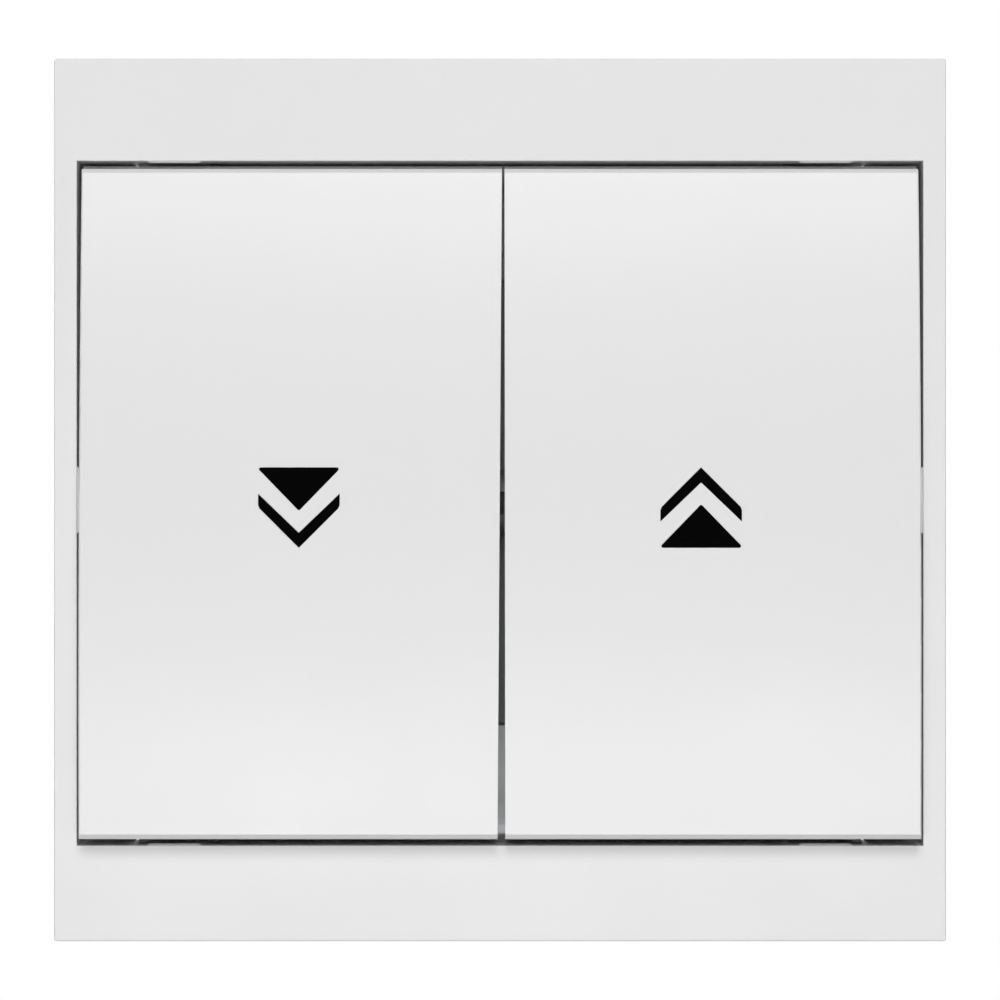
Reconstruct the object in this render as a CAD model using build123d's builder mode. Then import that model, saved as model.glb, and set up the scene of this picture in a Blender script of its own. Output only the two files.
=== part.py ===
from build123d import *
from math import cos, radians, sin, sqrt, tan
import os

# Roller shutter switch with two momentary rockers, down on the left and up on the right.
# X runs right, Z runs up and the front faces -Y. The wall surface is the plane Y = 0.
# Heights are measured from the wall towards the room, depths from the wall into the box.
# The origin is the centre of the mounting plate, on the wall, level with the rockers' pivot.

# Cover frame
frame_width = 85.0
frame_height = 84.1
frame_depth = 9.0
frame_rise = 0.3
frame_draft = 1.0
frame_corner = 0.25
frame_edge = 0.15
side_band = 2.15
end_band = 9.4
front_skin = 2.0
outer_wall = 1.8
inner_wall = 1.5
back_ledge = 1.4
frame_rib = 1.0
frame_rib_pitch = 14.0
frame_rib_count = 5

# Lugs at the edge of the opening, each in front of a snap tongue
lug_width = 5.1
lug_reach = 0.18
side_lug_width = 6.4
side_lug_reach = 0.33
lug_recess = 0.45
lug_lip = 0.15
lug_depth = 0.8
lug_inset = 4.45
tongue_width = 6.0
tongue_slit = 0.8
barb_reach = 1.1
barb_height = 1.0

# Mounting plate
side_room = 4.85
barb_room = 0.35
plate_thickness = 1.0
plate_corner = 5.0
window_lip = 1.5
window_corner = 6.0
flange_height = 4.2
side_flange = 2.1
flange_end = 5.0
flange_bend = 0.8
catch_width = 5.4
catch_height = 1.4
catch_base = 1.9
slot_margin = 5.5
slot_width = 3.6
slot_length = 7.0

# Rocker caps
rest_tilt = 3.0
pivot_height = 4.5
cap_end_gap = 0.5
cap_side_gap = 0.45
middle_gap_top = 0.24
middle_gap_foot = 0.74
gap_centre_top = 0.31
gap_centre_foot = 0.13
cap_wall = 1.8
cap_skirt = 0.0
lip_level = 3.3
lip_top = 0.5
cap_bevel = 0.42
cap_edge = 0.15
face_height = 7.3
face_radius = 350.0
cap_rib = 1.2
cap_rib_seat = 4.2
cap_rib_rows = 5
cap_rib_pitch = 11.0
cap_rib_columns = 3
cap_column_pitch = 9.0
post_notch = 9.0

# Symbols let into the caps
symbol_inset = 0.9
symbol_drop = 0.8
symbol_depth = 0.35
symbol_fit = 0.02
symbol_height = 7.6
triangle_width = 7.95
triangle_height = 4.1
triangle_corner = 0.16
chevron_width = 7.7
chevron_band = 1.4
chevron_rise = 5.1
chevron_clip = 0.2

# Toggle levers under the caps
unit_pitch = 19.8
lever_room = 2.5
lever_length = 26.0
lever_top = 1.6
lever_cheek = 1.6
lever_web = 1.6
lever_ledge = 2.6
hub_radius = 2.0
trunnion_radius = 1.3
trunnion_length = 2.0
trunnion_edge = 0.26
nose_arm = 11.9
nose_width = 4.8
nose_thickness = 2.2
nose_tip = -1.7
foot_inset = 0.8
foot_thickness = 2.0
foot_width = 3.0
stop_gap = 0.05

# Snap legs that hold a cap on its lever
leg_inset = 2.8
leg_width = 3.2
leg_thickness = 1.2
leg_gap = 0.1
leg_end = 1.2
leg_barb = 0.5

# Mechanism cover
cover_lip = 1.5
cover_corner = 4.0
cover_front = 2.4
block_edge = 0.3
post_thickness = 2.0
post_radius = 2.6
post_slope = 75
middle_post = 2.6
bearing_gap = 0.05
snap_mouth = 2.2
collar_wall = 1.0
collar_depth = 1.5
slide_gap = 0.1
part_gap = 0.2

# Plungers, bridges and springs
plunger_width = 6.0
plunger_thickness = 7.0
plunger_reach = 0.1
shoulder_reach = 0.7
shoulder_height = 1.4
fork_slot = 4.6
fork_end = 9.0
bridge_depth = 4.0
bridge_length = 14.6
bridge_width = 3.8
bridge_thickness = 0.8
tip_pitch = 11.0
tip_radius = 1.5
tip_height = 0.6
tip_edge = 0.15
tip_shank = 0.8
rear_dent = 0.9
closed_gap = 0.05
spring_radius = 1.9
spring_wire = 0.2
spring_sides = 6
spring_turns = 4
well_depth = 18.2
well_gap = 0.3

# Fixed stampings
strip_width = 3.0
strip_thickness = 0.8
strip_gap = 0.1
strip_end = 2.2
strip_crook = 4.6
link_row = -3.5
web_row = 2.4

# Terminals
terminal_edge = 4.2
terminal_inset = 7.0
terminal_width = 7.2
terminal_length = 6.8
terminal_front = 1.0
terminal_back = 2.6
tunnel_width = 4.6
tunnel_height = 5.3
screw_radius = 1.7
thread_gap = 0.05
screw_shank = 5.2
screw_end = 0.4
screw_head_radius = 3.0
screw_head = 2.0
screw_slot = 0.8
screw_slot_depth = 1.0
driver_gap = 0.4
entry_funnel = 0.5

# Base and rivets
base_depth = 21.0
base_flange = 2.0
base_wall = 2.2
chamber_room = 0.9
partition = 1.6
rivet_inset = 2.6
rivet_radius = 1.2
rivet_head_radius = 1.9
rivet_head = 0.7
rivet_edge = 0.3
rivet_gap = 0.1

os.makedirs("parts", exist_ok=True)

wall = Plane.XZ
tilt = radians(rest_tilt)
spare = 2.0
sliver = 0.02


def at_height(height):
    """A plane parallel to the wall, facing the room."""
    return wall.offset(height)


def at_depth(depth):
    """A plane behind the wall surface, facing the room."""
    return wall.offset(-depth)


# The rockers are drawn on a plane through the pivot that leans back by the rest tilt
rocker = Plane(origin=(0, -pivot_height, 0), x_dir=(1, 0, 0), z_dir=(0, -cos(tilt), sin(tilt)))
rocker_side = Plane(origin=rocker.origin, x_dir=rocker.y_dir, z_dir=rocker.x_dir)
upright_side = Plane(origin=(0, 0, 0), x_dir=(0, 0, 1), z_dir=(1, 0, 0))

# Sizes that follow from the ones above
opening_width = frame_width - 2 * side_band
opening_height = frame_height - 2 * end_band
opening_top = opening_height / 2
plate_width = opening_width - 2 * side_room
plate_height = opening_height + 2 * (inner_wall + plate_thickness + barb_room)
lug_pitch = plate_width - 2 * lug_inset
screw_pitch = plate_width - 2 * slot_margin
cap_height = opening_height - 2 * cap_end_gap
cap_outer = opening_width / 2 - cap_side_gap
symbol_spread = cap_outer / 2 - symbol_inset
lever_width = unit_pitch - 2 * lever_room
leg_pitch = lever_width - 2 * leg_inset
lever_top_height = lever_ledge + lever_top
lever_end = lever_length / 2
stroke = 2 * nose_arm * sin(tilt)
open_gap = stroke + closed_gap
strip_rear = bridge_depth + bridge_thickness + tip_height + open_gap + tip_height + strip_thickness
strip_front = bridge_depth - tip_height - closed_gap - tip_height
terminal_top_depth = strip_rear - strip_thickness - terminal_front
tunnel_front = terminal_top_depth + terminal_front
tunnel_rear = tunnel_front + tunnel_height
terminal_rear = tunnel_rear + terminal_back
plunger_front = pivot_height + nose_tip * cos(tilt) + nose_arm * sin(tilt) - plunger_reach
shoulder_top = collar_depth + slide_gap
chamber_height = plunger_thickness + 2 * (slide_gap + collar_wall + part_gap)
tip_column_inner = (unit_pitch - tip_pitch) / 2
tip_column_outer = (unit_pitch + tip_pitch) / 2
base_size = 2 * (tip_column_outer + strip_width / 2 + chamber_room + base_wall)
cover_size = base_size + 2 * cover_lip
plate_window = base_size - 2 * window_lip
rivet_pitch = cover_size - 2 * rivet_inset
rivet_notch = (base_size - rivet_pitch) / 2 + rivet_head_radius + rivet_gap
terminal_pitch = base_size / 2 - terminal_edge - terminal_width / 2
terminal_row = base_size / 2 - terminal_inset


def finish(piece, label):
    """Name a piece and write its file."""
    piece.part.label = label
    export_step(piece.part, f"parts/{label}.step")


def sagitta(radius, reach):
    """How far an arc of this radius has dropped at this distance from its crest."""
    return radius - sqrt(radius**2 - reach**2)


def cap_outline(side):
    """The corners of a cap from the front, side -1 for down and 1 for up."""
    top = cap_height / 2
    foot = -cap_height / 2
    outer = side * cap_outer
    inner_top = gap_centre_top + side * middle_gap_top / 2
    inner_foot = gap_centre_foot + side * middle_gap_foot / 2
    return [(outer, top), (inner_top, top), (inner_foot, foot), (outer, foot)]


def under_arc(crest, radius):
    """Draw the side view of everything below the long arc of a rocker's face."""
    reach = cap_height
    shoulder = crest - sagitta(radius, reach)
    with BuildLine() as outline:
        ThreePointArc((-reach, shoulder), (0, crest), (reach, shoulder))
        Polyline((reach, shoulder), (reach, -reach), (-reach, -reach), (-reach, shoulder))
    make_face(outline.edges())


def symbol_plane(side, height):
    """The plane of a symbol, centred on it, at a height above the pivot."""
    centre = rocker.from_local_coords(Vector(side * symbol_spread, -symbol_drop, height))
    return Plane(origin=centre, x_dir=rocker.x_dir, z_dir=rocker.z_dir)


def draw_symbol(side):
    """Draw the filled triangle and the chevron, pointing down for the down side and up for the other."""
    base = -side * symbol_height / 2
    point = -side * (symbol_height / 2 - triangle_height)
    with BuildSketch(mode=Mode.PRIVATE) as triangle:
        with BuildLine():
            Polyline((-triangle_width / 2, base), (triangle_width / 2, base), (0, point), close=True)
        make_face()
        fillet(triangle.vertices(), triangle_corner)
    tip = side * symbol_height / 2
    inner = side * (symbol_height / 2 - chevron_band)
    arm_start = side * (symbol_height / 2 - chevron_rise)
    arm_end = side * (symbol_height / 2 - chevron_width / 2)
    half = chevron_width / 2
    with BuildSketch(mode=Mode.PRIVATE) as chevron:
        with BuildLine():
            Polyline(
                (-half, arm_start),
                (0, inner),
                (half, arm_start),
                (half, arm_end),
                (0, tip),
                (-half, arm_end),
                close=True,
            )
        make_face()
        outer_corners = [v for v in chevron.vertices() if abs(v.Y - arm_end) < sliver]
        chamfer(outer_corners, chevron_clip)
    add(triangle.sketch)
    add(chevron.sketch)


def make_symbol(side, label):
    with BuildPart() as symbol:
        with BuildSketch(symbol_plane(side, face_height - symbol_depth)):
            draw_symbol(side)
        extrude(amount=symbol_depth + spare)
        with BuildSketch(rocker_side):
            under_arc(face_height, face_radius)
        extrude(amount=frame_width, both=True, mode=Mode.INTERSECT)
    finish(symbol, label)


def make_cap(side, label):
    centre = side * unit_pitch / 2
    # The hollow under the face, less the ribs that stand in it
    with BuildPart() as hollow:
        with BuildSketch(rocker.offset(cap_skirt - spare)):
            with BuildLine():
                Polyline(*cap_outline(side), close=True)
            make_face()
            offset(amount=-cap_wall, kind=Kind.INTERSECTION)
        extrude(amount=face_height + spare)
        with BuildSketch(rocker_side):
            under_arc(face_height - cap_wall, face_radius - cap_wall)
        extrude(amount=frame_width, both=True, mode=Mode.INTERSECT)
        with BuildSketch(rocker.offset(cap_rib_seat)):
            with GridLocations(0, cap_rib_pitch, 1, cap_rib_rows):
                Rectangle(2 * frame_width, cap_rib)
            with Locations((side * cap_outer / 2, 0)):
                with GridLocations(cap_column_pitch, 0, cap_rib_columns, 1):
                    Rectangle(cap_rib, 2 * cap_height)
        extrude(amount=face_height, mode=Mode.SUBTRACT)

    with BuildPart() as cap:
        outward = Axis(rocker.origin, rocker.z_dir)
        with BuildSketch(rocker.offset(cap_skirt)):
            with BuildLine():
                Polyline(*cap_outline(side), close=True)
            make_face()
        extrude(amount=face_height)
        with BuildSketch(rocker_side):
            under_arc(face_height, face_radius)
        extrude(amount=frame_width, both=True, mode=Mode.INTERSECT)

        # A step along the top edge leaves a lip below the face
        with BuildSketch(rocker.offset(lip_level)):
            with Locations((0, cap_height / 2)):
                Rectangle(2 * frame_width, 2 * lip_top)
        extrude(amount=face_height, mode=Mode.SUBTRACT)
        face = cap.faces().sort_by(outward)[-1]
        chamfer(face.edges().filter_by(Axis.X), cap_bevel)
        face = cap.faces().sort_by(outward)[-1]
        long_edges = [e for e in face.edges() if e.length > cap_height / 2]
        fillet(long_edges, cap_edge)
        add(hollow.part, mode=Mode.SUBTRACT)

        # The wall beside the middle bearing post is cut away round it
        with BuildSketch(rocker.offset(cap_skirt - spare)):
            with Locations((side * cap_wall, 0)):
                Rectangle(2 * cap_wall + spare, post_notch)
        extrude(amount=post_radius + part_gap + spare - cap_skirt, mode=Mode.SUBTRACT)

        # Snap legs with barbs that hook under the ends of the lever
        for column in (-1, 1):
            start = centre + column * leg_pitch / 2 - leg_width / 2
            with BuildSketch(rocker_side.offset(start)) as legs:
                with BuildLine():
                    inside = lever_end + leg_gap
                    catch = lever_ledge - leg_gap
                    Polyline(
                        (inside, face_height - cap_wall),
                        (inside, catch),
                        (inside - leg_barb, catch),
                        (inside - leg_barb, catch - leg_barb),
                        (inside, leg_end),
                        (inside + leg_thickness, leg_end),
                        (inside + leg_thickness, face_height - cap_wall),
                        close=True,
                    )
                make_face()
                mirror(about=Plane.YZ)
            extrude(amount=leg_width)

        with BuildSketch(symbol_plane(side, face_height - symbol_depth)):
            draw_symbol(side)
            offset(amount=symbol_fit)
        extrude(amount=symbol_depth + spare, mode=Mode.SUBTRACT)
    finish(cap, label)


def make_lever(side, label):
    centre = side * unit_pitch / 2
    foot_outer = lever_end - foot_inset
    foot_tip = (cover_front + stop_gap - pivot_height + foot_outer * sin(tilt)) / cos(tilt)
    with BuildPart() as lever:
        with BuildSketch(rocker_side.offset(centre - lever_width / 2)):
            with BuildLine():
                Polyline(
                    (-lever_end, lever_ledge),
                    (-lever_end, lever_top_height),
                    (lever_end, lever_top_height),
                    (lever_end, lever_ledge),
                    (2 * hub_radius, lever_ledge),
                    (hub_radius, 0),
                    (-hub_radius, 0),
                    (-2 * hub_radius, lever_ledge),
                    close=True,
                )
            make_face()
            Circle(hub_radius)
        extrude(amount=lever_width)
        # Only two cheeks and a middle web are left under the top
        with BuildSketch(rocker.offset(lever_ledge)):
            span = (lever_width - lever_web) / 2 - lever_cheek
            with Locations((centre, 0)):
                with GridLocations(span + lever_web, 0, 2, 1):
                    Rectangle(span, lever_length)
        extrude(amount=-lever_ledge - hub_radius, mode=Mode.SUBTRACT)

        # The nose that drives the plunger, rounded at its tip
        with BuildSketch(rocker_side.offset(centre - nose_width / 2)):
            with Locations((-nose_arm, (lever_ledge + nose_tip) / 2)):
                nose = Rectangle(nose_thickness, lever_ledge - nose_tip)
            fillet(nose.vertices().group_by(Axis.Y)[0], nose_thickness / 2 - sliver)
        extrude(amount=nose_width)

        # Feet at both ends, which meet the mechanism cover at the limits of the tilt
        with BuildSketch(rocker.offset(lever_ledge)):
            with Locations((centre, 0)):
                with GridLocations(leg_pitch, 2 * foot_outer - foot_thickness, 2, 2):
                    Rectangle(foot_width, foot_thickness)
        extrude(amount=foot_tip - lever_ledge)

        # Trunnions
        with BuildSketch(rocker_side.offset(centre - lever_width / 2 - trunnion_length)):
            Circle(trunnion_radius)
        extrude(amount=lever_width + 2 * trunnion_length)
        ends = lever.faces().filter_by(GeomType.PLANE).filter_by(Axis.X)
        ends = ends.sort_by(Axis.X)
        chamfer([*ends[0].edges(), *ends[-1].edges()], trunnion_edge)
    finish(lever, label)


def make_frame():
    middle = (0, frame_rise)
    with BuildPart() as frame:
        with BuildSketch(wall):
            with Locations(middle):
                spread = frame_depth * tan(radians(frame_draft))
                RectangleRounded(
                    frame_width + 2 * spread, frame_height + 2 * spread, frame_corner + spread
                )
        extrude(amount=frame_depth, taper=frame_draft)
        front = frame.faces().sort_by(Axis.Y)[0]
        fillet(front.edges(), frame_edge)
        with BuildSketch(wall):
            Rectangle(opening_width, opening_height)
        extrude(amount=frame_depth, mode=Mode.SUBTRACT)

        # Hollow bands above and below the opening, with stiffening ribs
        for end in (-1, 1):
            outer = frame_height / 2 + end * frame_rise - outer_wall
            inner = opening_top + inner_wall
            with BuildSketch(wall):
                with Locations((0, end * (outer + inner) / 2)):
                    Rectangle(opening_width, outer - inner)
            extrude(amount=frame_depth - front_skin, mode=Mode.SUBTRACT)
            with BuildSketch(at_height(flange_height + part_gap)):
                with Locations((0, end * (outer + inner) / 2)):
                    with GridLocations(frame_rib_pitch, 0, frame_rib_count, 1):
                        Rectangle(frame_rib, outer - inner)
            extrude(amount=frame_depth - front_skin + sliver - flange_height - part_gap)

        # The inner walls stand on the mounting plate
        with BuildSketch(wall):
            Rectangle(plate_width + spare, opening_height + 2 * inner_wall + sliver)
        extrude(amount=plate_thickness, mode=Mode.SUBTRACT)

        # A ledge on each side closes the back between the side wall and the plate
        with BuildSketch(wall):
            Rectangle(opening_width + sliver, opening_height)
            width = plate_width + 2 * part_gap
            height = plate_height + 2 * part_gap
            RectangleRounded(width, height, plate_corner + part_gap, mode=Mode.SUBTRACT)
        extrude(amount=back_ledge)

        # Snap tongues slit free of the inner walls, with barbs for the catches in the plate's flanges
        rows = 2 * opening_top + inner_wall
        with BuildSketch(wall):
            with GridLocations(lug_pitch, rows, 2, 2):
                with GridLocations(tongue_width + tongue_slit, 0, 2, 1):
                    Rectangle(tongue_slit, inner_wall + sliver)
        extrude(amount=flange_height, mode=Mode.SUBTRACT)
        barb_base = catch_base + part_gap
        for column in (-1, 1):
            start = column * lug_pitch / 2 - lug_width / 2
            with BuildSketch(upright_side.offset(start)):
                with BuildLine():
                    seat = opening_top + inner_wall
                    Polyline(
                        (seat, barb_base),
                        (seat + barb_reach, barb_base + barb_height / 2),
                        (seat + barb_reach, barb_base + barb_height),
                        (seat, barb_base + barb_height),
                        close=True,
                    )
                make_face()
                mirror(about=Plane.YZ)
            extrude(amount=lug_width)
            with BuildSketch(upright_side.offset(start)):
                with BuildLine():
                    Polyline(
                        (opening_top, frame_depth),
                        (opening_top - lug_reach, frame_depth - lug_recess),
                        (opening_top - lug_reach, frame_depth - lug_recess - lug_lip),
                        (opening_top, frame_depth - lug_depth),
                        close=True,
                    )
                make_face()
                mirror(about=Plane.YZ)
            lugs = extrude(amount=lug_width)
            inside = opening_top - lug_lip
            tips = lugs.edges().filter_by(Axis.Y).filter_by(lambda e: abs(e.center().Z) < inside)
            chamfer(tips, lug_reach - sliver)
        with BuildSketch(at_height(frame_depth - lug_recess - lug_depth)):
            with Locations(middle):
                with GridLocations(opening_width, 0, 2, 1):
                    Rectangle(2 * side_lug_reach, side_lug_width)
            chamfer(vertices(), side_lug_reach - sliver)
        extrude(amount=lug_depth)
    finish(frame, "cover_frame")


def window_outline(gap):
    """The window through the plate, or what fills it with a gap all round."""
    with BuildSketch() as window:
        Rectangle(plate_window - 2 * gap, plate_window - 2 * gap)
        chamfer(window.vertices(), window_corner)
    return window.sketch


def make_plate():
    with BuildPart() as plate:
        with BuildSketch(wall):
            RectangleRounded(plate_width, plate_height, plate_corner)
            add(window_outline(0), mode=Mode.SUBTRACT)
            with GridLocations(screw_pitch, 0, 2, 1):
                SlotOverall(slot_length, slot_width, mode=Mode.SUBTRACT)
            with GridLocations(rivet_pitch, rivet_pitch, 2, 2):
                Circle(rivet_radius + rivet_gap, mode=Mode.SUBTRACT)
        extrude(amount=plate_thickness)

        # Edges folded towards the room, with catches for the frame's barbs
        with BuildSketch(wall):
            with GridLocations(0, plate_height - plate_thickness, 1, 2):
                Rectangle(plate_width - 2 * flange_end, plate_thickness)
        extrude(amount=flange_height)
        with BuildSketch(wall):
            with GridLocations(plate_width - plate_thickness, 0, 2, 1):
                Rectangle(plate_thickness, plate_height - 2 * flange_end)
        extrude(amount=side_flange)
        outer_edges = plate.edges().filter_by(GeomType.LINE).group_by(Axis.Y)[-1]
        rows = outer_edges.filter_by(Axis.X).group_by(Axis.Z)
        columns = outer_edges.filter_by(Axis.Z).group_by(Axis.X)
        fillet(rows[0] + rows[-1] + columns[0] + columns[-1], flange_bend)
        with BuildSketch(at_height(catch_base)):
            with GridLocations(lug_pitch, plate_height - plate_thickness, 2, 2):
                Rectangle(catch_width, plate_thickness + spare)
        extrude(amount=catch_height, mode=Mode.SUBTRACT)
    finish(plate, "mounting_plate")


def make_cover():
    with BuildPart() as cover:
        with BuildSketch(at_height(plate_thickness)):
            RectangleRounded(cover_size, cover_size, cover_corner)
        extrude(amount=cover_front - plate_thickness)
        chamfer(cover.faces().sort_by(Axis.Y)[0].edges(), block_edge)
        with BuildSketch(wall):
            add(window_outline(part_gap))
        extrude(amount=plate_thickness)

        # Guides for the plungers
        width = plunger_width + 2 * slide_gap
        thickness = plunger_thickness + 2 * slide_gap
        with BuildSketch(at_depth(collar_depth)):
            with Locations((0, -nose_arm)):
                with GridLocations(unit_pitch, 0, 2, 1):
                    Rectangle(width + 2 * collar_wall, thickness + 2 * collar_wall)
        extrude(amount=collar_depth)
        with BuildSketch(at_depth(collar_depth)):
            with Locations((0, -nose_arm)):
                with GridLocations(unit_pitch, 0, 2, 1):
                    Rectangle(width, thickness)
        extrude(amount=collar_depth + cover_front, mode=Mode.SUBTRACT)

        # Bearing posts: one at each side and a shared one in the middle, open at the front for snapping in
        outer_post = unit_pitch / 2 + lever_width / 2 + part_gap
        left_post = (-outer_post - post_thickness, post_thickness)
        shared_post = (-middle_post / 2, middle_post)
        right_post = (outer_post, post_thickness)
        for start, thick in (left_post, shared_post, right_post):
            with BuildSketch(upright_side.offset(start)):
                with Locations((0, pivot_height)):
                    Circle(post_radius)
                with Locations((0, (pivot_height + plate_thickness) / 2)):
                    Trapezoid(2 * post_radius + spare, pivot_height - plate_thickness, post_slope)
                with Locations((0, pivot_height)):
                    Circle(trunnion_radius + bearing_gap, mode=Mode.SUBTRACT)
                with Locations((0, pivot_height + post_radius / 2)):
                    Rectangle(snap_mouth, post_radius + sliver, mode=Mode.SUBTRACT)
            extrude(amount=thick)

        # Posts that hold the stampings down in their grooves
        for depth, spots in ((strip_front, front_spots), (strip_rear, rear_spots)):
            with BuildSketch(wall):
                with Locations(*spots):
                    Rectangle(strip_width - strip_thickness, strip_width - strip_thickness)
            extrude(amount=strip_thickness + strip_gap - depth)

        with BuildSketch(at_height(plate_thickness)):
            with GridLocations(rivet_pitch, rivet_pitch, 2, 2):
                Circle(rivet_radius + rivet_gap)
        extrude(amount=cover_front, mode=Mode.SUBTRACT)
    finish(cover, "mechanism_cover")


def make_plunger(side, label):
    spot = (side * unit_pitch / 2, -nose_arm)
    with BuildPart() as plunger:
        with BuildSketch(at_depth(fork_end)):
            with Locations(spot):
                Rectangle(plunger_width, plunger_thickness)
        extrude(amount=fork_end + plunger_front)
        chamfer(plunger.faces().sort_by(Axis.Y)[0].edges(), block_edge)
        with BuildSketch(at_depth(shoulder_top + shoulder_height)):
            with Locations(spot):
                Rectangle(plunger_width + 2 * shoulder_reach, plunger_thickness)
        extrude(amount=shoulder_height)
        with BuildSketch(at_depth(fork_end)):
            with Locations(spot):
                Rectangle(plunger_width, fork_slot)
        extrude(amount=fork_end - bridge_depth, mode=Mode.SUBTRACT)
    finish(plunger, label)


def make_bridge(side, label):
    spot = (side * unit_pitch / 2, -nose_arm)
    with BuildPart() as bridge:
        with BuildSketch(at_depth(bridge_depth + bridge_thickness)):
            with Locations(spot):
                SlotOverall(bridge_length, bridge_width)
                with GridLocations(tip_pitch, 0, 2, 1):
                    Circle(tip_shank, mode=Mode.SUBTRACT)
        extrude(amount=bridge_thickness)
    finish(bridge, label)

    # A silver rivet through each end, with a contact head at the back and another head in front
    front_radius = tip_radius if side > 0 else rear_dent
    front_height = tip_height if side > 0 else tip_height / 2
    bridge_back = bridge_depth + bridge_thickness
    heads = [(bridge_back, -tip_height, tip_radius), (bridge_depth, front_height, front_radius)]
    with BuildPart() as tips:
        with BuildSketch(at_depth(bridge_back)):
            with Locations(spot):
                with GridLocations(tip_pitch, 0, 2, 1):
                    Circle(tip_shank)
        extrude(amount=bridge_thickness)
        for depth, height, radius in heads:
            with BuildSketch(at_depth(depth)):
                with Locations(spot):
                    with GridLocations(tip_pitch, 0, 2, 1):
                        Circle(radius)
            extrude(amount=height)
        for end in (tips.faces().sort_by(Axis.Y)[:2], tips.faces().sort_by(Axis.Y)[-2:]):
            chamfer([e for f in end for e in f.edges()], tip_edge)
    finish(tips, label + "_tips")


def make_spring(side, label):
    top = bridge_depth + bridge_thickness + spring_wire
    height = well_depth - spring_wire - top
    start = Vector(side * unit_pitch / 2, well_depth - spring_wire, -nose_arm)
    with BuildPart() as spring:
        with BuildLine() as coil:
            Helix(height / spring_turns, height, spring_radius, center=start, direction=(0, -1, 0))
        with BuildSketch(Plane(origin=coil.line @ 0, z_dir=coil.line % 0)):
            RegularPolygon(spring_wire, spring_sides)
        sweep(path=coil.line)
    finish(spring, label)


def strip_path(points, width):
    """Draw a strip of even width along a few points."""
    for start, end in zip(points, points[1:]):
        centre = ((start[0] + end[0]) / 2, (start[1] + end[1]) / 2)
        SlotCenterPoint(centre, end, width)


# Where the strips run, seen from the front
strip_foot = -nose_arm - strip_end + strip_width / 2
strip_head = terminal_row + terminal_length / 2 - strip_width / 2
crook_foot = web_row + strip_thickness
crook_head = crook_foot + strip_crook
outer_run = [
    (tip_column_outer, strip_foot),
    (tip_column_outer, crook_foot),
    (terminal_pitch, crook_head),
    (terminal_pitch, strip_head),
]
down_run = [(-x, z) for x, z in outer_run]
up_run = [(tip_column_inner, strip_foot), (tip_column_inner, crook_foot), (0, crook_head), (0, strip_head)]
line_arm = [(tip_column_outer, strip_foot), (tip_column_outer, crook_foot)]
link_arm = [(tip_column_inner, strip_foot), (tip_column_inner, link_row), (-tip_column_inner, link_row)]
link_run = [(-tip_column_inner, strip_foot), (-tip_column_inner, link_row)]
front_spots = [(tip_column_outer, link_row), (tip_column_inner, link_row)]
rear_spots = [(0, crook_head), (-tip_column_outer, crook_foot)]


def make_strip(label, rear_points, front_points=(), web=None):
    """A stamping: a rear strip and a front strip, joined by a web between them."""
    with BuildPart() as strip:
        for depth, points in ((strip_rear, rear_points), (strip_front, front_points)):
            if points:
                with BuildSketch(at_depth(depth)):
                    strip_path(points, strip_width)
                extrude(amount=strip_thickness)
        if web:
            place, size = web
            with BuildSketch(at_depth(strip_rear)):
                with Locations(place):
                    Rectangle(*size)
            extrude(amount=strip_rear - strip_front + strip_thickness)
    finish(strip, label)


def make_fixed_tips():
    columns = (tip_column_outer, tip_column_inner, -tip_column_inner, -tip_column_outer)
    rear = [(x, -nose_arm) for x in columns]
    front = rear[:2]
    rear_face = strip_rear - strip_thickness
    with BuildPart() as tips:
        for depth, height, spots in ((rear_face, tip_height, rear), (strip_front, -tip_height, front)):
            with BuildSketch(at_depth(depth)):
                with Locations(*spots):
                    Circle(tip_radius)
            heads = extrude(amount=height)
            faces = heads.faces().filter_by(GeomType.PLANE).group_by(Axis.Y)
            crests = faces[0] if height > 0 else faces[-1]
            chamfer(crests.edges(), tip_edge)
    finish(tips, "fixed_contact_tips")


def make_terminal(column, name):
    spot = (column, terminal_row)
    with BuildPart() as block:
        with BuildSketch(at_depth(terminal_rear)):
            with Locations(spot):
                Rectangle(terminal_width, terminal_length)
        extrude(amount=terminal_rear - terminal_top_depth)
        chamfer(block.edges().filter_by(Axis.Z), block_edge)
        with BuildSketch(at_depth(tunnel_rear)):
            with Locations(spot):
                Rectangle(tunnel_width, terminal_length)
        extrude(amount=tunnel_height, mode=Mode.SUBTRACT)
        with BuildSketch(at_depth(terminal_rear)):
            with Locations(spot):
                Circle(screw_radius + thread_gap)
        extrude(amount=terminal_back, mode=Mode.SUBTRACT)
    finish(block, name)

    seat = tunnel_rear + thread_gap + screw_shank
    with BuildPart() as screw:
        with BuildSketch(at_depth(seat)):
            with Locations(spot):
                Circle(screw_radius)
        extrude(amount=screw_shank)
        chamfer(screw.edges().sort_by(Axis.Y)[0], screw_end)
        with BuildSketch(at_depth(seat + screw_head)):
            with Locations(spot):
                Circle(screw_head_radius)
        extrude(amount=screw_head)
        chamfer(screw.edges().sort_by(Axis.Y)[-1], block_edge)
        with BuildSketch(at_depth(seat + screw_head)):
            with Locations(spot):
                Rectangle(screw_slot, 2 * screw_head_radius)
                Rectangle(2 * screw_head_radius, screw_slot)
        extrude(amount=screw_slot_depth, mode=Mode.SUBTRACT)
    finish(screw, name + "_screw")


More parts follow.
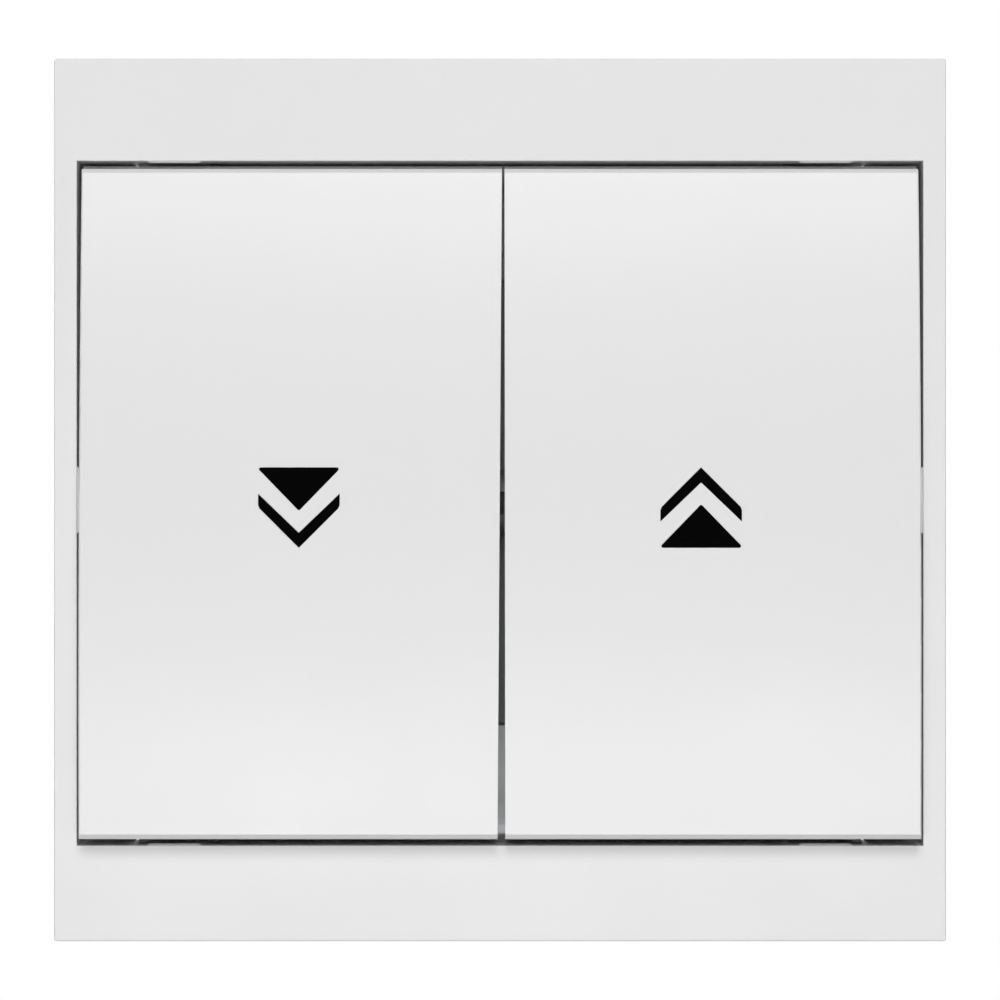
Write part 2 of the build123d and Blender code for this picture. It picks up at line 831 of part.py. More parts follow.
def make_base():
    half = base_size / 2
    with BuildPart() as base:
        with BuildSketch(at_depth(base_flange)):
            RectangleRounded(cover_size, cover_size, cover_corner)
        extrude(amount=base_flange)
        with BuildSketch(at_depth(base_depth)):
            Rectangle(base_size, base_size)
            with GridLocations(base_size - rivet_notch, base_size - rivet_notch, 2, 2):
                Rectangle(rivet_notch, rivet_notch, mode=Mode.SUBTRACT)
        extrude(amount=base_depth - base_flange)
        chamfer(base.faces().sort_by(Axis.Y)[-1].edges(), entry_funnel)

        # Contact chambers, with a well behind each plunger
        inner = partition / 2
        outer = half - base_wall
        for side in (-1, 1):
            with BuildSketch(at_depth(strip_rear)):
                with Locations((side * (inner + outer) / 2, -nose_arm)):
                    Rectangle(outer - inner, chamber_height)
            extrude(amount=strip_rear, mode=Mode.SUBTRACT)
            with BuildSketch(at_depth(well_depth)):
                with Locations((side * unit_pitch / 2, -nose_arm)):
                    Rectangle(plunger_width + 2 * well_gap, plunger_thickness + 2 * well_gap)
            extrude(amount=well_depth, mode=Mode.SUBTRACT)

        # Grooves that locate the stampings
        rear_runs = (outer_run, down_run, up_run, link_run)
        front_runs = (line_arm, link_arm)
        for depth, runs in ((strip_rear, rear_runs), (strip_front, front_runs)):
            with BuildSketch(at_depth(depth)):
                for run in runs:
                    strip_path(run, strip_width + 2 * strip_gap)
            extrude(amount=depth, mode=Mode.SUBTRACT)
        for (x, z), (width, height) in (line_web, link_web):
            with BuildSketch(at_depth(strip_rear)):
                with Locations((x, z)):
                    Rectangle(width + 2 * strip_gap, height + 2 * strip_gap)
            extrude(amount=strip_rear, mode=Mode.SUBTRACT)

        # Terminal pockets, with wire entries from above and screw access from the back
        for column in (-terminal_pitch, 0, terminal_pitch):
            with BuildSketch(at_depth(terminal_rear)):
                with Locations((column, terminal_row)):
                    Rectangle(terminal_width + 2 * strip_gap, terminal_length + 2 * strip_gap)
            extrude(amount=terminal_rear, mode=Mode.SUBTRACT)
            with BuildSketch(at_depth(base_depth)):
                with Locations((column, terminal_row)):
                    Circle(screw_head_radius + driver_gap)
            extrude(amount=base_depth - terminal_rear, mode=Mode.SUBTRACT)
            with BuildSketch(at_depth(tunnel_rear)):
                with Locations((column, half)):
                    Rectangle(tunnel_width, 2 * (half - terminal_row))
            extrude(amount=tunnel_rear - strip_rear, mode=Mode.SUBTRACT)
        mouths = base.edges().filter_by(
            lambda e: abs(e.center().Z - half) < sliver and e.length < tunnel_width + sliver
        )
        chamfer(mouths, entry_funnel)

        with BuildSketch(at_depth(base_flange)):
            with GridLocations(rivet_pitch, rivet_pitch, 2, 2):
                Circle(rivet_radius + rivet_gap)
        extrude(amount=base_flange, mode=Mode.SUBTRACT)
    finish(base, "mechanism_base")


def make_rivets():
    reach = rivet_pitch / 2
    corners = [(-reach, reach), (reach, reach), (-reach, -reach), (reach, -reach)]
    names = ["top_left", "top_right", "lower_left", "lower_right"]
    for name, corner in zip(names, corners):
        with BuildPart() as rivet:
            with BuildSketch(at_depth(base_flange)):
                with Locations(corner):
                    Circle(rivet_radius)
            extrude(amount=base_flange + cover_front)
            for height in (cover_front, -base_flange - rivet_head):
                with BuildSketch(at_height(height)):
                    with Locations(corner):
                        Circle(rivet_head_radius)
                extrude(amount=rivet_head)
            ends = rivet.edges().sort_by(Axis.Y)
            chamfer([ends[0], ends[-1]], rivet_edge)
        finish(rivet, f"{name}_rivet")


# The webs that join front and rear strips: place and size of each, seen from the front
line_web = ((tip_column_outer, web_row), (strip_width, strip_thickness))
link_web = ((-tip_column_inner, link_row), (strip_thickness, strip_width))

make_frame()
make_plate()
make_cover()
make_base()
make_rivets()
for side, name in ((-1, "down"), (1, "up")):
    make_cap(side, f"{name}_rocker")
    make_symbol(side, f"{name}_symbol")
    make_lever(side, f"{name}_lever")
    make_plunger(side, f"{name}_plunger")
    make_bridge(side, f"{name}_bridge")
    make_spring(side, f"{name}_spring")
make_strip("line_contact", outer_run, line_arm, line_web)
make_strip("link_contact", link_run, link_arm, link_web)
make_strip("down_contact", down_run)
make_strip("up_contact", up_run)
make_fixed_tips()
make_terminal(-terminal_pitch, "down_terminal")
make_terminal(0, "up_terminal")
make_terminal(terminal_pitch, "line_terminal")
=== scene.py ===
import bpy
from math import radians
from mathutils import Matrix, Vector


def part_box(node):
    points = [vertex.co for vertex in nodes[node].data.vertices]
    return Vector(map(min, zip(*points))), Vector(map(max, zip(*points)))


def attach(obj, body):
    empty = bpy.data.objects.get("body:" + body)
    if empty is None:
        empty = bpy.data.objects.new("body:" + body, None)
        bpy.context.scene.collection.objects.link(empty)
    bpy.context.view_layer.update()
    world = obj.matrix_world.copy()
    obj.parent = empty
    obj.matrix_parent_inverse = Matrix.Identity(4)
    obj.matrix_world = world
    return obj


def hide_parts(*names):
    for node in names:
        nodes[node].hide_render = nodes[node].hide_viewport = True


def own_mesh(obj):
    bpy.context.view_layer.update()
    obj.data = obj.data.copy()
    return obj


# Roller shutter switch: white moulded rockers and cover frame, steel plate and contact block behind.
# The solids come from the frame, this script dresses them. Boxes, stage and camera are in metres. The values
# of the screws, rivets, springs and marks, and all that ends in Mm, are in millimetres.

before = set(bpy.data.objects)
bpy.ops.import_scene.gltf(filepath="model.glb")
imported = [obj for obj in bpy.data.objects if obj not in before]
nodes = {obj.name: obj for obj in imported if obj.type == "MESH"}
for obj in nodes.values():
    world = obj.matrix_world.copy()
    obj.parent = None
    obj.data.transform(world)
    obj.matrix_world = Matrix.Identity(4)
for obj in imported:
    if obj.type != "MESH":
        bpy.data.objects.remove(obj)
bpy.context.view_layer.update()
print("frame loaded,", len(nodes), "nodes")


# sRGB hex to the linear values that Blender's colour sockets take
def linearColour(code):
    channels = [int(code[i:i + 2], 16) / 255 for i in (1, 3, 5)]
    linear = [c / 12.92 if c <= 0.04045 else ((c + 0.055) / 1.055) ** 2.4 for c in channels]
    return (*linear, 1.0)


# adds one node, sets its options, then fills or links its inputs
def addNode(tree, kind, options=None, inputs=None):
    node = tree.nodes.new(kind)
    for name, value in (options or {}).items():
        setattr(node, name, value)
    for name, value in (inputs or {}).items():
        if isinstance(value, bpy.types.NodeSocket):
            tree.links.new(value, node.inputs[name])
        else:
            node.inputs[name].default_value = value
    return node


# an empty material with its output, a shader and the object's own coordinates
def newMaterial(name):
    material = bpy.data.materials.new(name)
    material.use_nodes = True
    tree = material.node_tree
    tree.nodes.clear()
    shader = addNode(tree, "ShaderNodeBsdfPrincipled")
    addNode(tree, "ShaderNodeOutputMaterial", inputs={"Surface": shader.outputs[0]})
    place = addNode(tree, "ShaderNodeTexCoord").outputs["Object"]
    return material, tree, shader, place


# noise with features of about this size, on coordinates in metres
def addNoise(tree, place, sizeMm, detail, roughness=0.5):
    noise = addNode(tree, "ShaderNodeTexNoise", inputs={
        "Vector": place, "Scale": 1000 / sizeMm, "Detail": detail, "Roughness": roughness})
    return noise.outputs["Fac"]


# the look's own colour at 0 and its second colour at 1
def linkColours(tree, shader, factor, look, second="shade"):
    mix = addNode(tree, "ShaderNodeMix", {"data_type": "RGBA"}, {
        0: factor, 6: linearColour(look["colour"]), 7: linearColour(look[second])})
    tree.links.new(mix.outputs[2], shader.inputs["Base Color"])


# roughness that goes this far below and above the look's own with the pattern
def linkRoughness(tree, shader, pattern, look, below, above):
    spread = addNode(tree, "ShaderNodeMapRange", inputs={
        "Value": pattern, "To Min": look["roughness"] - below, "To Max": look["roughness"] + above})
    tree.links.new(spread.outputs["Result"], shader.inputs["Roughness"])


# relief of this depth, on top of another one if its normal is given
def addRelief(tree, pattern, depthMm, normal=None, strength=1.0):
    inputs = {"Strength": strength, "Distance": depthMm / 1000, "Height": pattern}
    if normal:
        inputs["Normal"] = normal
    return addNode(tree, "ShaderNodeBump", inputs=inputs).outputs["Normal"]


# Moulded ABS: dense white plastic from a polished steel tool. The eye sees a clean satin skin,
# a very faint ripple in its highlights and hardly any change of colour.
mouldedAbs = {
    "coverFrame": {"colour": "#EFEFEF", "shade": "#EBEBEB", "roughness": 0.34, "rippleMm": 1.6, "depthMm": 0.0025},
    "rocker": {"colour": "#EFEFEF", "shade": "#ECECEC", "roughness": 0.30, "rippleMm": 2.2, "depthMm": 0.002},
    "cloudMm": 14.0, "grainMm": 0.22, "grainDepthMm": 0.0006, "spread": 0.03, "ior": 1.53,
}


def makeMouldedAbs(part):
    look = mouldedAbs[part]
    material, tree, shader, place = newMaterial("moulded ABS " + part)
    cloud = addNoise(tree, place, mouldedAbs["cloudMm"], 3.0)
    rippled = addRelief(tree, addNoise(tree, place, look["rippleMm"], 1.0), look["depthMm"])
    grain = addNoise(tree, place, mouldedAbs["grainMm"], 2.0)
    grained = addRelief(tree, grain, mouldedAbs["grainDepthMm"], rippled)
    linkColours(tree, shader, cloud, look)
    linkRoughness(tree, shader, cloud, look, mouldedAbs["spread"], mouldedAbs["spread"])
    tree.links.new(grained, shader.inputs["Normal"])
    shader.inputs["IOR"].default_value = mouldedAbs["ior"]
    return material


# Plain plastics. Black ABS of the symbols is deep and slightly duller than the white round it. Acetal of the
# levers is slippery and waxy, nylon of the plungers is creamy and a little clear, and the glass-filled
# polyester of the contact block is matt, with short fibre streaks along its height.
plainPlastics = {
    "black ABS": {
        "colour": "#010101", "shade": "#030303", "roughness": 0.8,
        "streakMm": 0.3, "stretch": 1.0, "depthMm": 0.002, "ior": 1.12},
    "acetal": {
        "colour": "#E2E1DB", "shade": "#DAD9D2", "roughness": 0.38,
        "streakMm": 3.0, "stretch": 1.0, "depthMm": 0.002, "ior": 1.48},
    "nylon": {
        "colour": "#E3DDCB", "shade": "#D8D1BC", "roughness": 0.42,
        "streakMm": 2.0, "stretch": 1.0, "depthMm": 0.002, "ior": 1.53},
    "filled polyester": {
        "colour": "#C9C9C5", "shade": "#BEBFBB", "roughness": 0.58,
        "streakMm": 0.9, "stretch": 5.0, "depthMm": 0.012, "ior": 1.57},
    "grey filled polyester": {
        "colour": "#C4C7C8", "shade": "#B7BABC", "roughness": 0.55,
        "streakMm": 0.9, "stretch": 5.0, "depthMm": 0.012, "ior": 1.57},
}
plasticCloud = {"sizeMm": 11.0, "spread": 0.06}


def makePlainPlastic(name):
    look = plainPlastics[name]
    material, tree, shader, place = newMaterial(name)
    turned = addNode(tree, "ShaderNodeMapping", inputs={
        "Vector": place, "Scale": (1.0, 1.0, 1.0 / look["stretch"])})
    streaks = addNoise(tree, turned.outputs["Vector"], look["streakMm"], 4.0, 0.6)
    linkColours(tree, shader, addNoise(tree, place, plasticCloud["sizeMm"], 2.0), look)
    linkRoughness(tree, shader, streaks, look, plasticCloud["spread"], plasticCloud["spread"])
    tree.links.new(addRelief(tree, streaks, look["depthMm"]), shader.inputs["Normal"])
    shader.inputs["IOR"].default_value = look["ior"]
    return material


# Zinc-plated steel sheet, cold rolled: cool grey with fine lines along the rolling direction
# and soft patches where the zinc took the light differently.
zincSheet = {
    "colour": "#B9BBBD", "shade": "#A4A7AA", "roughness": 0.36, "spread": 0.1,
    "lineMm": 0.18, "lineStretch": 60.0, "lineDepthMm": 0.0015, "patchMm": 7.0, "patchBlur": 0.8,
}


def makeZincSheet():
    material, tree, shader, place = newMaterial("zinc-plated steel sheet")
    along = addNode(tree, "ShaderNodeMapping", inputs={
        "Vector": place, "Scale": (1 / zincSheet["lineStretch"], 1.0, 1.0)})
    lines = addNoise(tree, along.outputs["Vector"], zincSheet["lineMm"], 3.0)
    patches = addNode(tree, "ShaderNodeTexVoronoi", {"feature": "SMOOTH_F1"}, {
        "Vector": place, "Scale": 1000 / zincSheet["patchMm"], "Smoothness": zincSheet["patchBlur"]})
    linkColours(tree, shader, patches.outputs["Distance"], zincSheet)
    linkRoughness(tree, shader, lines, zincSheet, zincSheet["spread"], zincSheet["spread"])
    tree.links.new(addRelief(tree, lines, zincSheet["lineDepthMm"]), shader.inputs["Normal"])
    shader.inputs["Metallic"].default_value = 1.0
    return material


# Small metal parts. Stamped brass strip is warm and slightly tarnished, the machined brass of the clamps is
# brighter, contact silver is nearly white, spring wire is dark from drawing, nickel plate is pale and glossy,
# and the yellow zinc of the clamp screws is paler than brass.
smallMetals = {
    "stampedBrass": {
        "colour": "#E2C27E", "tarnish": "#C39A55", "roughness": 0.30, "markMm": 1.2, "depthMm": 0.002},
    "machinedBrass": {
        "colour": "#E8CC8C", "tarnish": "#D0AC66", "roughness": 0.24, "markMm": 0.7, "depthMm": 0.002},
    "contactSilver": {
        "colour": "#F2F0EA", "tarnish": "#DCD8CE", "roughness": 0.20, "markMm": 0.5, "depthMm": 0.001},
    "springWire": {
        "colour": "#9A9C9E", "tarnish": "#77797C", "roughness": 0.28, "markMm": 0.4, "depthMm": 0.001},
    "nickelPlate": {
        "colour": "#D9D6CF", "tarnish": "#C4C0B7", "roughness": 0.22, "markMm": 0.8, "depthMm": 0.001},
    "yellowZinc": {
        "colour": "#DDD3AE", "tarnish": "#C7BE9C", "roughness": 0.30, "markMm": 0.8, "depthMm": 0.001},
}
metalWear = {"stainMm": 3.0, "polished": 0.07, "dulled": 0.1}


def makeSmallMetal(name):
    look = smallMetals[name]
    material, tree, shader, place = newMaterial(name)
    marks = addNoise(tree, place, look["markMm"], 5.0)
    linkColours(tree, shader, addNoise(tree, place, metalWear["stainMm"], 4.0, 0.6), look, "tarnish")
    linkRoughness(tree, shader, marks, look, metalWear["polished"], metalWear["dulled"])
    tree.links.new(addRelief(tree, marks, look["depthMm"]), shader.inputs["Normal"])
    shader.inputs["Metallic"].default_value = 1.0
    return material


# each node takes the finish whose name its own name ends in
finishes = {
    "cover_frame": makeMouldedAbs("coverFrame"),
    "rocker": makeMouldedAbs("rocker"),
    "symbol": makePlainPlastic("black ABS"),
    "lever": makePlainPlastic("acetal"),
    "plunger": makePlainPlastic("nylon"),
    "mechanism_cover": makePlainPlastic("grey filled polyester"),
    "mechanism_base": makePlainPlastic("filled polyester"),
    "mounting_plate": makeZincSheet(),
    "contact": makeSmallMetal("stampedBrass"),
    "bridge": makeSmallMetal("stampedBrass"),
    "terminal": makeSmallMetal("machinedBrass"),
    "tips": makeSmallMetal("contactSilver"),
    "spring": makeSmallMetal("springWire"),
    "rivet": makeSmallMetal("nickelPlate"),
    "terminal_screw": makeSmallMetal("yellowZinc"),
}

for nodeName, node in nodes.items():
    ending = max((key for key in finishes if nodeName.endswith(key)), key=len)
    if not node.data.materials:
        node.data.materials.append(finishes[ending])
    for slot in node.material_slots:
        slot.material = finishes[ending]
print("finishes set:", len(finishes))


# millimetres to Blender's metres
def mm(size):
    return size / 1000


# tolerances for picking and cutting faces, in metres, and the angle up to which edges are shaded smooth
picking = {"sameDepth": 1e-6, "facing": 0.9, "cutThreshold": 1e-7, "smoothAngle": 32}


# moves the place, turn and size of the newest object into its mesh, so the object itself sits at the origin
def keepInMesh(name):
    piece = bpy.context.active_object
    piece.name = name
    piece.data.name = name
    bpy.ops.object.transform_apply(location=True, rotation=True, scale=True)
    return piece


# goes into edit mode with just the faces selected that face along +Y (way 1) or -Y (way -1) at this depth
def selectEnd(piece, depth, way):
    bpy.ops.object.mode_set(mode="EDIT")
    bpy.ops.mesh.select_mode(type="FACE")
    bpy.ops.mesh.select_all(action="DESELECT")
    bpy.ops.object.mode_set(mode="OBJECT")
    for face in piece.data.polygons:
        face.select = abs(face.center.y - depth) < picking["sameDepth"] and face.normal.y * way > picking["facing"]
    bpy.ops.object.mode_set(mode="EDIT")


# extrudes what is selected along Y, then scales its outline about this spot
def extrudeEnd(spot, along, spread=1.0):
    bpy.ops.mesh.extrude_region_move(TRANSFORM_OT_translate={"value": (0, along, 0)})
    bpy.ops.transform.resize(value=(spread, 1, spread), center_override=spot)


# gives a finished piece its shading, material and body
def finishPiece(piece, finish):
    bpy.ops.object.mode_set(mode="OBJECT")
    bpy.ops.object.select_all(action="DESELECT")
    piece.select_set(True)
    bpy.context.view_layer.objects.active = piece
    bpy.ops.object.shade_smooth_by_angle(angle=radians(picking["smoothAngle"]))
    piece.data.materials.append(finishes[finish])
    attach(piece, "switch_unit")


# Clamp screws: turned heads with a rolled rim, a slot and a cross for either driver, and a rolled thread
clampScrew = {
    "headRadius": 3.0, "headHeight": 2.0, "shankRadius": 1.7, "rim": 0.55, "rimSteps": 4, "dome": 0.12,
    "slot": {"width": 0.8, "length": 6.4, "depth": 1.0}, "cross": {"width": 0.9, "length": 3.6, "depth": 1.35},
    "pitch": 0.7, "threadDepth": 0.2, "sides": 48,
    "turned": {"down_terminal_screw": 14.0, "up_terminal_screw": -37.0, "line_terminal_screw": 61.0},
}


def makeClampScrew(node, turned):
    low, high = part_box(node)
    x, z = (low[0] + high[0]) / 2, (low[2] + high[2]) / 2
    radius = mm(clampScrew["shankRadius"])
    neck = high[1] - mm(clampScrew["headHeight"])
    bpy.ops.object.select_all(action="DESELECT")
    bpy.ops.mesh.primitive_cylinder_add(
        vertices=clampScrew["sides"], radius=radius, depth=neck - low[1],
        location=(x, (neck + low[1]) / 2, z), rotation=(radians(90), 0, 0))
    screw = keepInMesh("clamp_screw_" + node.split("_")[0])
    bpy.ops.object.mode_set(mode="EDIT")
    half = mm(clampScrew["pitch"]) / 2
    for step in range(1, int((neck - low[1]) / half)):
        depth = low[1] + step * half
        bpy.ops.mesh.select_all(action="SELECT")
        bpy.ops.mesh.bisect(plane_co=(x, depth, z), plane_no=(0, 1, 0))
        if step % 2:
            root = 1 - clampScrew["threadDepth"] / clampScrew["shankRadius"]
            bpy.ops.transform.resize(value=(root, 1, root), center_override=(x, depth, z))
    selectEnd(screw, neck, 1)
    extrudeEnd((x, neck, z), 0, clampScrew["headRadius"] / clampScrew["shankRadius"])
    extrudeEnd((x, high[1], z), high[1] - neck - mm(clampScrew["dome"]))
    bpy.ops.mesh.bevel(offset=mm(clampScrew["rim"]), segments=clampScrew["rimSteps"], affect="EDGES")
    selectEnd(screw, high[1] - mm(clampScrew["dome"]), 1)
    bpy.ops.mesh.inset(thickness=mm(clampScrew["rim"]), depth=mm(clampScrew["dome"]))
    bpy.ops.object.mode_set(mode="OBJECT")
    for turn, recess in ((0, clampScrew["slot"]), (90, clampScrew["cross"])):
        bpy.ops.object.select_all(action="DESELECT")
        bpy.ops.mesh.primitive_cube_add(
            size=1, location=(x, high[1], z), rotation=(0, radians(turned + turn), 0),
            scale=(mm(recess["width"]), 2 * mm(recess["depth"]), mm(recess["length"])))
        cutter = bpy.context.active_object
        bpy.context.view_layer.objects.active = screw
        cut = screw.modifiers.new("recess", "BOOLEAN")
        cut.operation = "DIFFERENCE"
        cut.object = cutter
        bpy.ops.object.modifier_apply(modifier=cut.name)
        bpy.data.objects.remove(cutter, do_unlink=True)
    finishPiece(screw, "terminal_screw")
    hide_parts(node)


for node, turned in clampScrew["turned"].items():
    makeClampScrew(node, turned)
print("clamp screws made:", len(clampScrew["turned"]))


# Rivets that close the contact block: a domed head in front, a rolled hollow end behind
blockRivet = {
    "shankRadius": 1.2, "headRadius": 1.9, "headHeight": 0.7, "dome": 0.5, "domeSteps": 5,
    "bore": 0.62, "boreDepth": 0.9, "boreTaper": 0.8, "roll": 0.3, "sides": 40,
    "names": ["top_left_rivet", "top_right_rivet", "lower_left_rivet", "lower_right_rivet"],
}


def makeBlockRivet(node):
    low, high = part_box(node)
    x, z = (low[0] + high[0]) / 2, (low[2] + high[2]) / 2
    head = mm(blockRivet["headHeight"])
    front, rear = low[1] + head, high[1] - head
    spread = blockRivet["headRadius"] / blockRivet["shankRadius"]
    bpy.ops.object.select_all(action="DESELECT")
    bpy.ops.mesh.primitive_cylinder_add(
        vertices=blockRivet["sides"], radius=mm(blockRivet["shankRadius"]), depth=rear - front,
        location=(x, (front + rear) / 2, z), rotation=(radians(90), 0, 0))
    rivet = keepInMesh("block_" + node)
    selectEnd(rivet, front, -1)
    extrudeEnd((x, front, z), 0, spread)
    extrudeEnd((x, low[1], z), -head)
    bpy.ops.mesh.bevel(offset=mm(blockRivet["dome"]), segments=blockRivet["domeSteps"], affect="EDGES")
    selectEnd(rivet, rear, 1)
    extrudeEnd((x, rear, z), 0, spread)
    extrudeEnd((x, high[1], z), head)
    bpy.ops.mesh.bevel(offset=mm(blockRivet["roll"]), segments=blockRivet["domeSteps"], affect="EDGES")
    selectEnd(rivet, high[1], 1)
    bpy.ops.mesh.inset(thickness=mm(blockRivet["headRadius"] - blockRivet["roll"] - blockRivet["bore"]))
    bpy.ops.mesh.bevel(offset=mm(blockRivet["roll"]) / 2, segments=2, affect="EDGES")
    extrudeEnd((x, high[1], z), -mm(blockRivet["boreDepth"]), blockRivet["boreTaper"])
    finishPiece(rivet, "rivet")
    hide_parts(node)


for node in blockRivet["names"]:
    makeBlockRivet(node)
print("block rivets made:", len(blockRivet["names"]))


# Return springs behind the plungers: round drawn wire, a closed turn at each end and the ends ground flat.
returnSpring = {
    "coilRadius": 1.9, "wireRadius": 0.2, "wireSides": 14, "steps": 28, "turns": 7, "closedTurns": 1,
    "easeTurns": 0.6, "closedPitch": 0.42, "seat": 18.2, "travel": 1.25,
}


def makeReturnSpring(side):
    low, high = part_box(side + "_spring")
    x, z = (low[0] + high[0]) / 2, (low[2] + high[2]) / 2
    wire, steps = mm(returnSpring["wireRadius"]), returnSpring["steps"]
    total = steps * returnSpring["turns"]
    bpy.ops.object.select_all(action="DESELECT")
    bpy.ops.mesh.primitive_circle_add(
        vertices=returnSpring["wireSides"], radius=wire, fill_type="NGON",
        location=(x + mm(returnSpring["coilRadius"]), low[1] + wire / 2, z))
    spring = keepInMesh(side + "_return_spring")
    toEnd = [min(step, total - 1 - step) / steps for step in range(total)]
    openShare = [
        min(1, max(0, turns - returnSpring["closedTurns"]) / returnSpring["easeTurns"]) for turns in toEnd]
    closedRise = mm(returnSpring["closedPitch"]) / steps
    openRise = (high[1] - low[1] - wire - total * closedRise) / sum(openShare)
    bpy.ops.object.mode_set(mode="EDIT")
    bpy.ops.mesh.select_all(action="SELECT")
    for share in openShare:
        bpy.ops.mesh.extrude_region_move(TRANSFORM_OT_translate={"value": (0, closedRise + share * openRise, 0)})
        bpy.ops.transform.rotate(value=radians(360 / steps), orient_axis="Y", center_override=(x, low[1], z))
    for end, way in ((low[1], -1), (high[1], 1)):
        bpy.ops.mesh.select_all(action="SELECT")
        bpy.ops.mesh.bisect(
            plane_co=(x, end, z), plane_no=(0, way, 0), clear_outer=True, use_fill=True,
            threshold=picking["cutThreshold"])
    bpy.ops.mesh.select_all(action="SELECT")
    bpy.ops.mesh.normals_make_consistent(inside=False)
    finishPiece(spring, "spring")
    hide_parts(side + "_spring")
    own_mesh(spring)


for side in ("down", "up"):
    makeReturnSpring(side)
print("return springs made")


# Marks raised on the back of the contact block: which way each clamp drives, the strip gauge and the marks
# of the ejector pins
blockMarks = {
    "height": 0.25, "sunk": 0.1, "edge": 0.08, "triangle": 1.6, "ring": (1.35, 0.4), "below": 2.6,
    "sides": 32,
    "gauge": {"length": 9.0, "width": 0.5, "tick": 1.4, "place": (0.0, -15.0)},
    "pins": {
        "radius": 1.6, "rim": 0.25, "height": 0.14,
        "places": [(-16.0, 2.0), (16.0, 2.0), (-14.0, -15.0), (14.0, -15.0)]},
}


# a flat prism on the block's back, its first corner pointing up (way 1) or down (way -1)
def startMark(name, sides, radiusMm, heightMm, x, z, way=1):
    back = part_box("mechanism_base")[1][1]
    sunk = mm(blockMarks["sunk"])
    bpy.ops.object.select_all(action="DESELECT")
    bpy.ops.mesh.primitive_cylinder_add(
        vertices=sides, radius=mm(radiusMm), depth=mm(heightMm) + sunk,
        location=(x, back + (mm(heightMm) - sunk) / 2, z), rotation=(radians(90 * way), 0, 0))
    return keepInMesh(name), back + mm(heightMm)


for clamp, way in (("down", -1), ("up", 1)):
    low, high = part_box(clamp + "_terminal")
    mark, crest = startMark(
        clamp + "_clamp_mark", 3, blockMarks["triangle"], blockMarks["height"],
        (low[0] + high[0]) / 2, low[2] - mm(blockMarks["below"]), way)
    selectEnd(mark, crest, 1)
    bpy.ops.mesh.bevel(offset=mm(blockMarks["edge"]), segments=2, affect="EDGES")
    finishPiece(mark, "mechanism_base")

low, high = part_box("line_terminal")
ringRadius, ringWidth = blockMarks["ring"]
lineMark, crest = startMark(
    "line_clamp_mark", blockMarks["sides"], ringRadius, blockMarks["height"],
    (low[0] + high[0]) / 2, low[2] - mm(blockMarks["below"]))
selectEnd(lineMark, crest, 1)
bpy.ops.mesh.inset(thickness=mm(ringWidth))
extrudeEnd((0, crest, 0), -mm(blockMarks["height"] - blockMarks["edge"]))
finishPiece(lineMark, "mechanism_base")

gauge = blockMarks["gauge"]
gaugeX, gaugeZ = (mm(size) for size in gauge["place"])
bpy.ops.object.select_all(action="DESELECT")
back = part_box("mechanism_base")[1][1]
bpy.ops.mesh.primitive_cube_add(
    size=1, location=(gaugeX, back, gaugeZ),
    scale=(mm(gauge["length"]), 2 * mm(blockMarks["height"]), mm(gauge["width"])))
stripGauge = keepInMesh("strip_gauge")
bpy.ops.object.mode_set(mode="EDIT")
for end in (-1, 1):
    bpy.ops.mesh.select_all(action="SELECT")
    cutAt = gaugeX + end * mm(gauge["length"] / 2 - gauge["width"])
    bpy.ops.mesh.bisect(plane_co=(cutAt, back, gaugeZ), plane_no=(1, 0, 0))
bpy.ops.mesh.select_mode(type="FACE")
bpy.ops.mesh.select_all(action="DESELECT")
bpy.ops.object.mode_set(mode="OBJECT")
for face in stripGauge.data.polygons:
    beyond = abs(face.center.x - gaugeX) > mm(gauge["length"] / 2 - gauge["width"])
    face.select = beyond and abs(face.normal.z) > picking["facing"]
bpy.ops.object.mode_set(mode="EDIT")
bpy.ops.mesh.extrude_faces_move(TRANSFORM_OT_shrink_fatten={"value": mm(gauge["tick"])})
finishPiece(stripGauge, "mechanism_base")

pins = blockMarks["pins"]
for count, (pinX, pinZ) in enumerate(pins["places"], 1):
    pin, crest = startMark(
        "ejector_mark_" + str(count), blockMarks["sides"], pins["radius"], pins["height"], mm(pinX), mm(pinZ))
    selectEnd(pin, crest, 1)
    bpy.ops.mesh.inset(thickness=mm(pins["rim"]))
    extrudeEnd((mm(pinX), crest, mm(pinZ)), -mm(pins["height"] / 2))
    finishPiece(pin, "mechanism_base")
print("block marks made")


# Stage: pale floor below the held switch, a soft box low in front, one further off and higher, one behind,
# and a pale grey room that turns white behind the switch
stage = {
    "floorDrop": 0.13, "floorSize": 1.16, "floorColour": "#CBCBCB", "floorRoughness": 0.9,
    "paperMm": 2.0, "paperDepthMm": 0.05, "paperStrength": 0.3,
}
lights = {
    "front": {"place": (0.0, -0.62, -0.26), "turn": (112.8, 0, 0), "size": 0.4, "power": 5.6},
    "upper": {"place": (0.0, -1.2, 0.75), "turn": (58.0, 0, 0), "size": 0.5, "power": 7.4},
    "back": {"place": (-0.7, 0.9, 0.7), "turn": (-58.5, 0, 37.9), "size": 0.8, "power": 6.0},
}
surround = {"colour": "#FFFFFF", "room": 0.3, "backdrop": 1.0, "fadeFrom": 0.90, "fadeTo": 0.965}

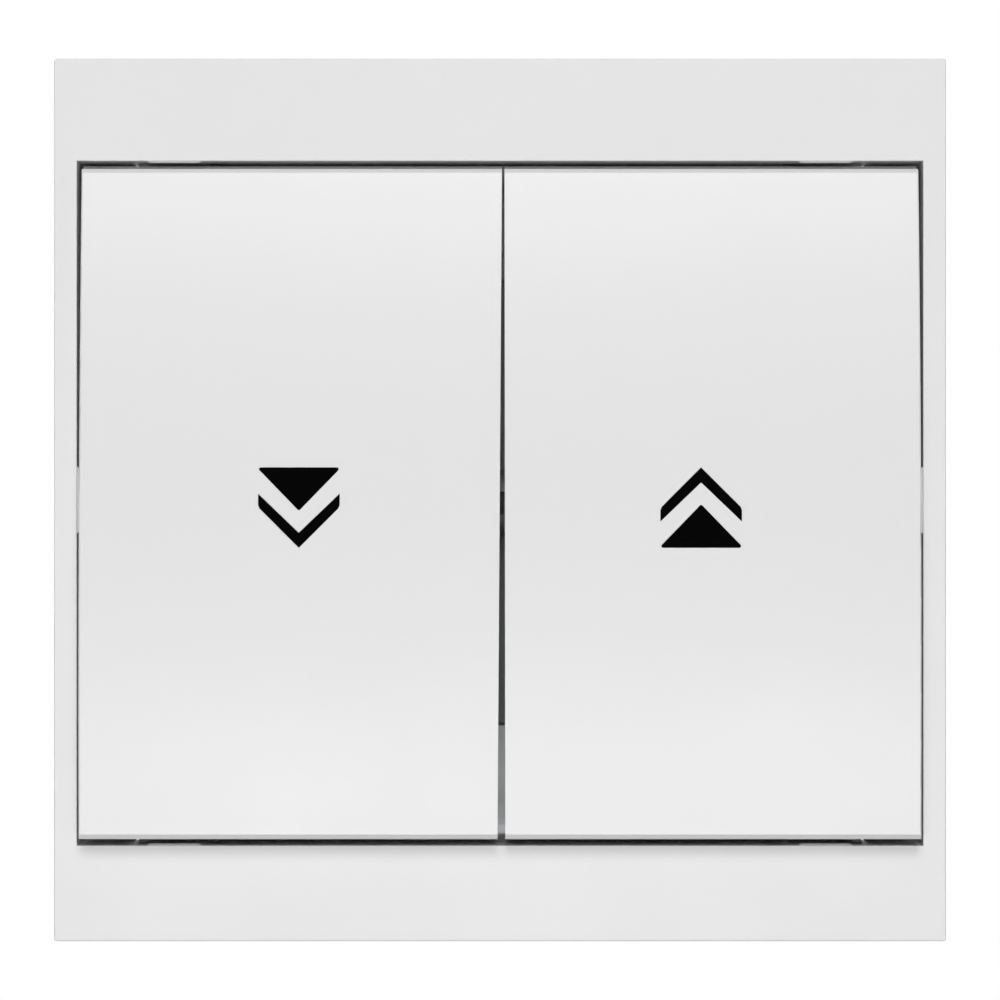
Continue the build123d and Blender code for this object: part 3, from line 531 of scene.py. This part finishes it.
bpy.ops.object.select_all(action="DESELECT")
bpy.ops.mesh.primitive_plane_add(size=stage["floorSize"], location=(0, 0, -stage["floorDrop"]))
floor = bpy.context.active_object
floor.name = "floor"
floorMaterial, floorTree, floorShader, floorPlace = newMaterial("pale paper")
paper = addNoise(floorTree, floorPlace, stage["paperMm"], 3.0)
paperRelief = addRelief(floorTree, paper, stage["paperDepthMm"], strength=stage["paperStrength"])
floorTree.links.new(paperRelief, floorShader.inputs["Normal"])
floorShader.inputs["Base Color"].default_value = linearColour(stage["floorColour"])
floorShader.inputs["Roughness"].default_value = stage["floorRoughness"]
floor.data.materials.append(floorMaterial)

for lightName, light in lights.items():
    bpy.ops.object.light_add(type="AREA", location=light["place"], rotation=[radians(a) for a in light["turn"]])
    lamp = bpy.context.active_object
    lamp.name = lightName + " light"
    lamp.data.size = light["size"]
    lamp.data.energy = light["power"]

world = bpy.data.worlds.new("light tent")
bpy.context.scene.world = world
world.use_nodes = True
backdrop = world.node_tree.nodes["Background"]
backdrop.inputs["Color"].default_value = linearColour(surround["colour"])
direction = addNode(world.node_tree, "ShaderNodeTexCoord").outputs["Generated"]
parts = addNode(world.node_tree, "ShaderNodeSeparateXYZ", inputs={"Vector": direction})
fade = addNode(world.node_tree, "ShaderNodeMapRange", {"interpolation_type": "SMOOTHSTEP"}, {
    "Value": parts.outputs["Y"], "From Min": surround["fadeFrom"], "From Max": surround["fadeTo"],
    "To Min": surround["room"], "To Max": surround["backdrop"]})
world.node_tree.links.new(fade.outputs["Result"], backdrop.inputs["Strength"])
bpy.context.scene.view_settings.view_transform = "Standard"
print("stage and lights set")


# Camera square to the wall, as in the photograph: the image is 95.3 mm wide at the frame's front face
camera = {
    "distance": 0.450, "faceDepth": 0.009, "height": 0.0003, "viewWidth": 0.09529, "sensorMm": 36.0,
    "clipStart": 0.01,
}
bpy.ops.object.camera_add(
    location=(0, -camera["faceDepth"] - camera["distance"], camera["height"]), rotation=(radians(90), 0, 0))
view = bpy.context.active_object
view.data.sensor_width = camera["sensorMm"]
view.data.lens = camera["sensorMm"] * camera["distance"] / camera["viewWidth"]
view.data.clip_start = camera["clipStart"]
bpy.context.scene.camera = view
print("camera set, lens", round(view.data.lens, 1), "mm")
